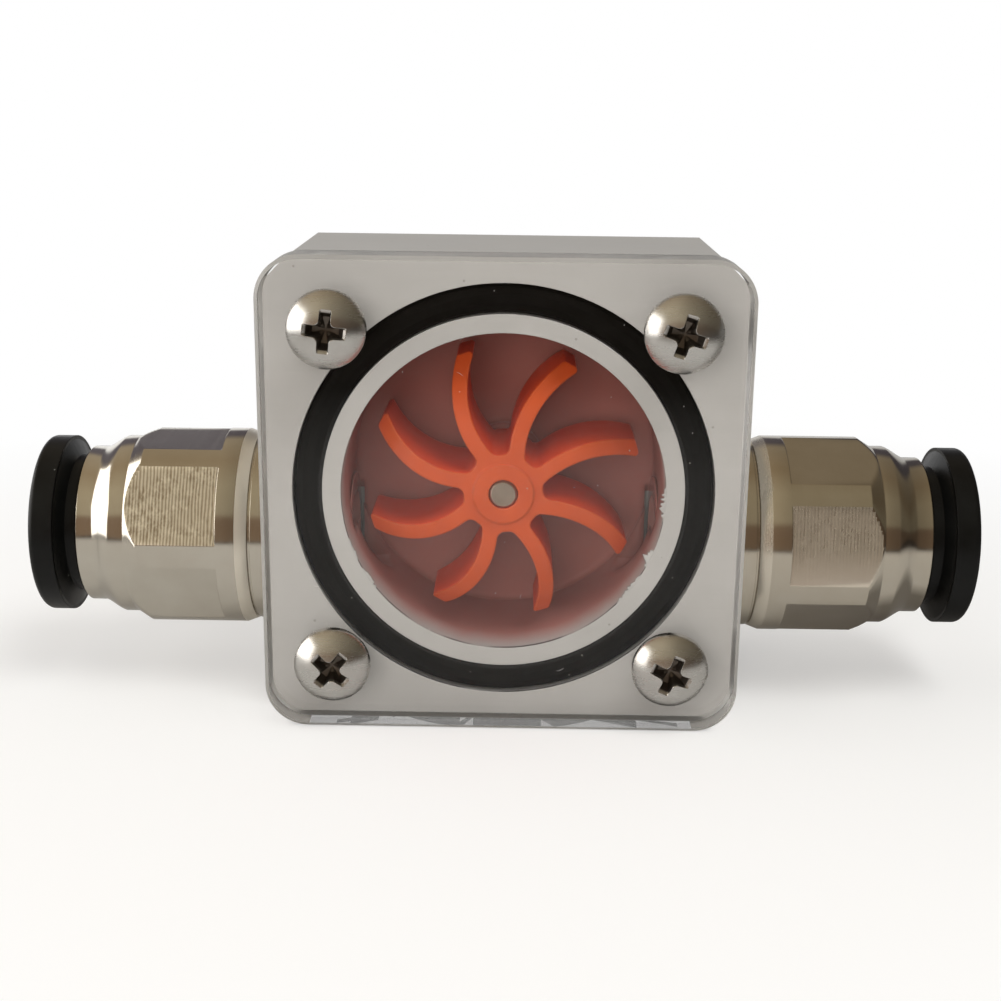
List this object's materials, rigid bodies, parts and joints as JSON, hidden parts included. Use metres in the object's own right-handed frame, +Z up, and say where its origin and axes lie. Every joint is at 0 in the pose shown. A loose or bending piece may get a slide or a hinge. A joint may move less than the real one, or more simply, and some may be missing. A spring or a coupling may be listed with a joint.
{
  "type": "paddle wheel flow meter",
  "caption": "In-line paddle wheel flow meter with a clear window, a curved-blade impeller on a pin and push-in fittings for a 12 mm tube.",
  "frame": {"origin": "bottom centre of the whole meter, on the plane it stands on", "axes": "+X along the flow from inlet to outlet, -Y out of the window, +Z up"},
  "size_m": [0.103, 0.0316, 0.05],
  "materials": {
    "white_plastic": "machined white plastic with a faint satin sheen",
    "clear_acrylic": "clear polished acrylic sheet",
    "black_rubber": "smooth black rubber",
    "stainless_steel": "tumbled stainless steel",
    "orange_plastic": "moulded orange plastic",
    "ground_steel": "ground steel pin",
    "washer_plastic": "natural white bearing plastic",
    "nickel_plate": "warm bright nickel plating",
    "black_plastic": "moulded black plastic"
  },
  "bodies": {
    "housing": {"body": "white_plastic", "cover_plate": "clear_acrylic", "cover_seal": "black_rubber", "cover_screws": "stainless_steel", "impeller_shaft": "ground_steel", "thrust_washer": "washer_plastic", "inlet_fitting_body": "nickel_plate", "inlet_port_seal": "black_rubber", "inlet_guide_ring": "nickel_plate", "inlet_grab_ring": "stainless_steel", "inlet_backing_ring": "washer_plastic", "inlet_tube_seal": "black_rubber", "outlet_fitting_body": "nickel_plate", "outlet_port_seal": "black_rubber", "outlet_guide_ring": "nickel_plate", "outlet_grab_ring": "stainless_steel", "outlet_backing_ring": "washer_plastic", "outlet_tube_seal": "black_rubber"},
    "impeller_wheel": {"impeller": "orange_plastic"},
    "inlet_sleeve": {"inlet_release_sleeve": "black_plastic"},
    "outlet_sleeve": {"outlet_release_sleeve": "black_plastic"}
  },
  "joints": [
    {"name": "impeller_spin", "type": "hinge", "parent": "housing", "child": "impeller_wheel", "pos_m": [0, 0, 0.025], "axis": [0, -1, 0], "continuous": true},
    {"name": "inlet_release", "type": "slide", "parent": "housing", "child": "inlet_sleeve", "axis": [1, 0, 0], "range_m": [0, 0.0012], "stiffness_N_per_m": 300},
    {"name": "outlet_release", "type": "slide", "parent": "housing", "child": "outlet_sleeve", "axis": [-1, 0, 0], "range_m": [0, 0.0012], "stiffness_N_per_m": 300}
  ]
}
